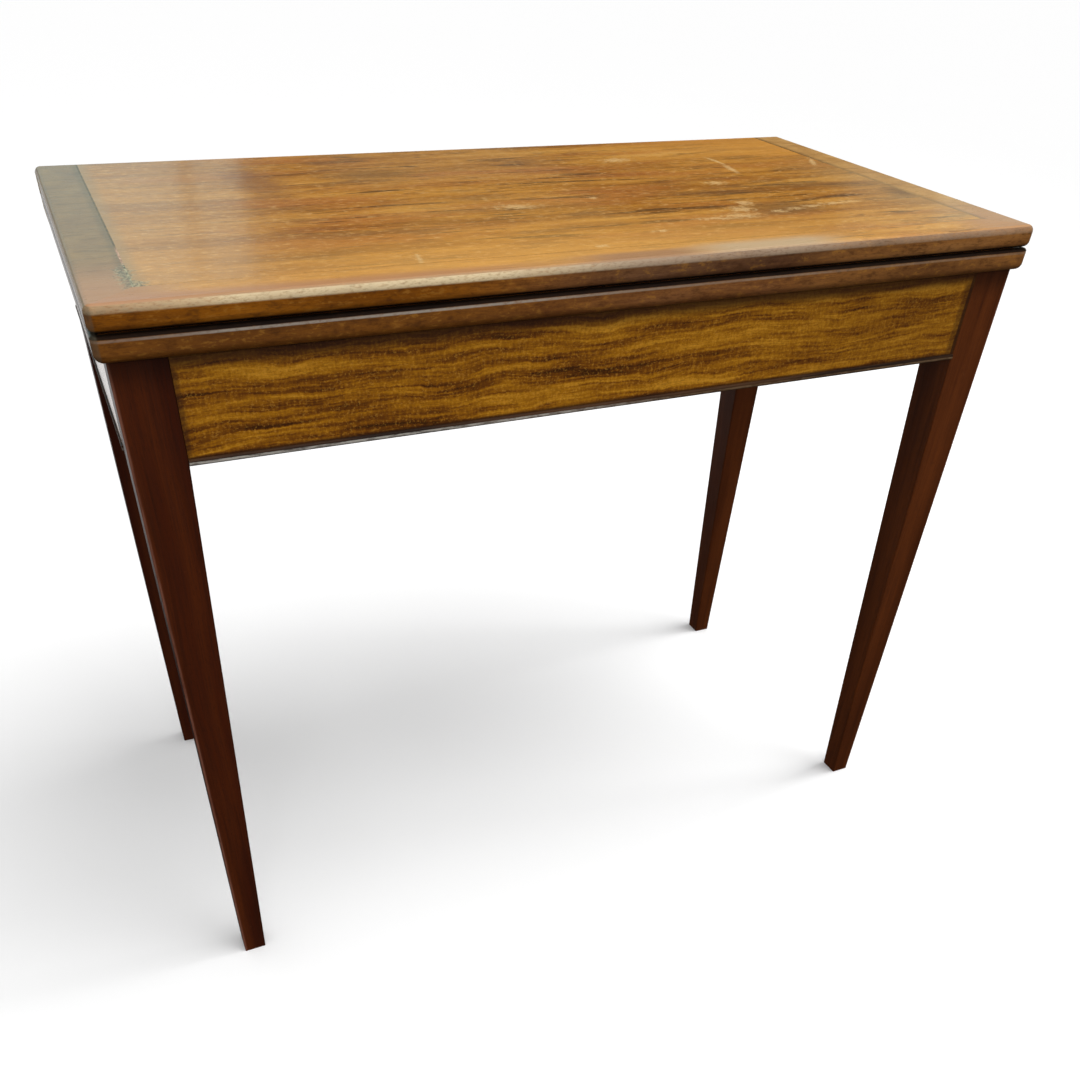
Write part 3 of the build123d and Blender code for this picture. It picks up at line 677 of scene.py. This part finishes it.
def finishes():
    """Dresses every CAD node."""
    dress(["upper_leaf", "leaf_tongues"],
          leaf_wood("upper_leaf_polish", (upper_low, upper_high), 5, rub_and_highlight=upper_wear_and_highlight, strength=0.90,
                    gap_shade_levels=(upper_low.z + 3.4 * MM, upper_low.z + 1.2 * MM),
                    pales=("D8C49C", "A48E76"), golden_tones=upper_golden, purple_tones=upper_purple))
    dress(["lower_leaf"],
          leaf_wood("lower_leaf_polish", (lower_low, lower_high), 11, rub_and_highlight=lower_highlight_line, strength=0.80,
                    gap_shade_levels=(lower_high.z - 2.6 * MM, lower_high.z - 1.6 * MM),
                    pales=("B0A89C", "9C8874"), golden_tones=lower_golden, purple_tones=lower_purple))
    dress(["field_veneer"], top_field())
    dress(["crossband_left"], end_band("left_band_polish", left_tones))
    dress(["crossband_right"], end_band("right_band_polish", right_tones))
    dress(["crossband_front"], front_band())
    dress(["stringing"], string_line())
    dress(["frieze_front"], frieze("frieze_polish", X, 3, coat=0.0, rough=front_frieze_rough))
    dress(["frieze_left", "frieze_right"],
          frieze("side_frieze_polish", Y, 5, coat=0.6, rough=side_frieze_rough))
    dress(["bead_front", "bead_left", "bead_right"], bead_wood())
    for leg, tones, inner_shade, offset in legs:
        dress([leg], leg_wood(leg, tones, inner_shade, offset))
    dress(["fly_rail", "fixed_back_rail"], plain_wood("gate_finish", X, gate_brown, gate_rough))
    dress(["front_rail", "inner_back_rail", "glue_blocks_front", "glue_blocks_back"],
          plain_wood("carcase_x", X, carcase_pale, carcase_rough))
    dress(["side_rail_left", "side_rail_right", "glue_blocks_side"],
          plain_wood("carcase_y", Y, carcase_pale, carcase_rough))
    dress(["hinge_lower_left", "hinge_lower_right", "hinge_upper_left", "hinge_upper_right",
           "hinge_pins", "hinge_screws_lower", "hinge_screws_upper"],
          metal("aged_brass", "B08C42", "7A5E2E", smooth=0.35))
    dress(["knuckle_pin"], metal("dark_iron", "3A3632", "4A382C", smooth=0.5))
    dress(["leaf_screws", "back_rail_screws"], metal("screw_steel", "7A766E", "5A5048", smooth=0.4))


def floor():
    """A plain white floor, which lights neither the table nor its reflections."""
    bpy.ops.mesh.primitive_plane_add(size=floor_size, location=(0, 0, 0))
    plane = bpy.context.object
    plane.name = "floor"
    material = bpy.data.materials.new("floor_paper")
    material.use_nodes = True
    shader = material.node_tree.nodes["Principled BSDF"]
    shader.inputs["Base Color"].default_value = floor_white
    shader.inputs["Roughness"].default_value = floor_rough
    shader.inputs["Specular IOR Level"].default_value = 0.0
    plane.data.materials.append(material)
    plane.visible_glossy = False
    plane.visible_diffuse = False


def world():
    """White to the camera, pale from above, dimmer from below, and mostly dark in reflections."""
    studio = bpy.data.worlds.new("studio")
    bpy.context.scene.world = studio
    studio.use_nodes = True
    g = Graph(studio.node_tree)

    def background(strength):
        node = g.add("ShaderNodeBackground")
        node.inputs["Color"].default_value = (1, 1, 1, 1)
        g.feed(node.inputs["Strength"], strength)
        return node.outputs[0]

    way = g.add("ShaderNodeSeparateXYZ")
    g.feed(way.inputs[0], g.add("ShaderNodeTexCoord").outputs["Generated"])
    _, behind, up = way.outputs
    ambient = background(g.rise(up, -0.15, 0.15, ambient_below, ambient_above))
    ground = g.product(g.rise(behind, 0.80, 0.95, 0.0, ground_glow), g.rise(up, 0.10, -0.05))
    mirrored = background(g.math("ADD", ground, mirrored_dark))
    path = g.add("ShaderNodeLightPath")

    def choose(ray, other, when):
        node = g.add("ShaderNodeMixShader")
        for socket, value in zip(node.inputs, (path.outputs[ray], other, when)):
            g.feed(socket, value)
        return node.outputs[0]

    seen = choose("Is Camera Ray", choose("Is Glossy Ray", ambient, mirrored), background(1.0))
    g.feed(g.add("ShaderNodeOutputWorld").inputs[0], seen)


def camera():
    data = bpy.data.cameras.new("camera")
    data.sensor_width = camera_sensor
    data.lens = camera_lens
    data.shift_y = camera_shift_up
    eye = bpy.data.objects.new("camera", data)
    eye.location = camera_place
    eye.rotation_euler = [math.radians(angle) for angle in camera_turn_degrees]
    bpy.context.scene.collection.objects.link(eye)
    bpy.context.scene.camera = eye


def lamp(name, kind, place, target, diffuse=True, glossy=True):
    """A light aimed at a point, which the camera doesn't see."""
    light = bpy.data.lights.new(name, kind)
    holder = bpy.data.objects.new(name, light)
    holder.location = place
    holder.rotation_euler = (Vector(target) - Vector(place)).to_track_quat("-Z", "Y").to_euler()
    holder.visible_camera = False
    holder.visible_diffuse = diffuse
    holder.visible_glossy = glossy
    bpy.context.scene.collection.objects.link(holder)
    return light


def panel(name, place, target, extent, radiance, tint=(1.0, 1.0, 1.0), **seen):
    """A soft rectangular light of some width and height. Its strength is given as its brightness."""
    light = lamp(name, "AREA", place, target, **seen)
    light.shape = "RECTANGLE"
    light.size, light.size_y = extent
    light.energy = radiance * math.pi * light.size * light.size_y
    light.color = tint


def overcast(place, degrees, brightness):
    """Light from a wide patch of bright sky, which lights the whole floor alike."""
    light = lamp("overcast", "SUN", place, (0, 0, 0), glossy=False)
    light.angle = math.radians(degrees)
    light.energy = brightness * math.pi


def lights():
    """Three lights for the surfaces, then panels that only show in reflections."""
    overcast((1.3, -0.6, 3.0), degrees=38, brightness=0.43)
    panel("side", (2.6, -0.2, 2.0), (0, 0, 0.2), (0.9, 0.9), radiance=10.0, glossy=False)
    panel("fill", (-0.6, -3.0, 1.9), (0, 0, 0.5), (2.0, 1.2), radiance=2.9, glossy=False)
    panel("sky_above", (0.1, -0.4, 2.6), (0.1, -0.3, 0.7), (3.2, 1.6), radiance=1.6, diffuse=False)
    panel("sky_front", (0.1, -2.6, 2.3), (0, 0, 0.7), (3.2, 1.2), radiance=2.2, diffuse=False)
    for name, x, z, extent, radiance in windows:
        panel(name, (x, window_distance, z), (x, 0, z), extent, radiance, window_tint, diffuse=False)


finishes()
floor()
world()
camera()
lights()
bpy.context.scene.view_settings.view_transform = "Standard"
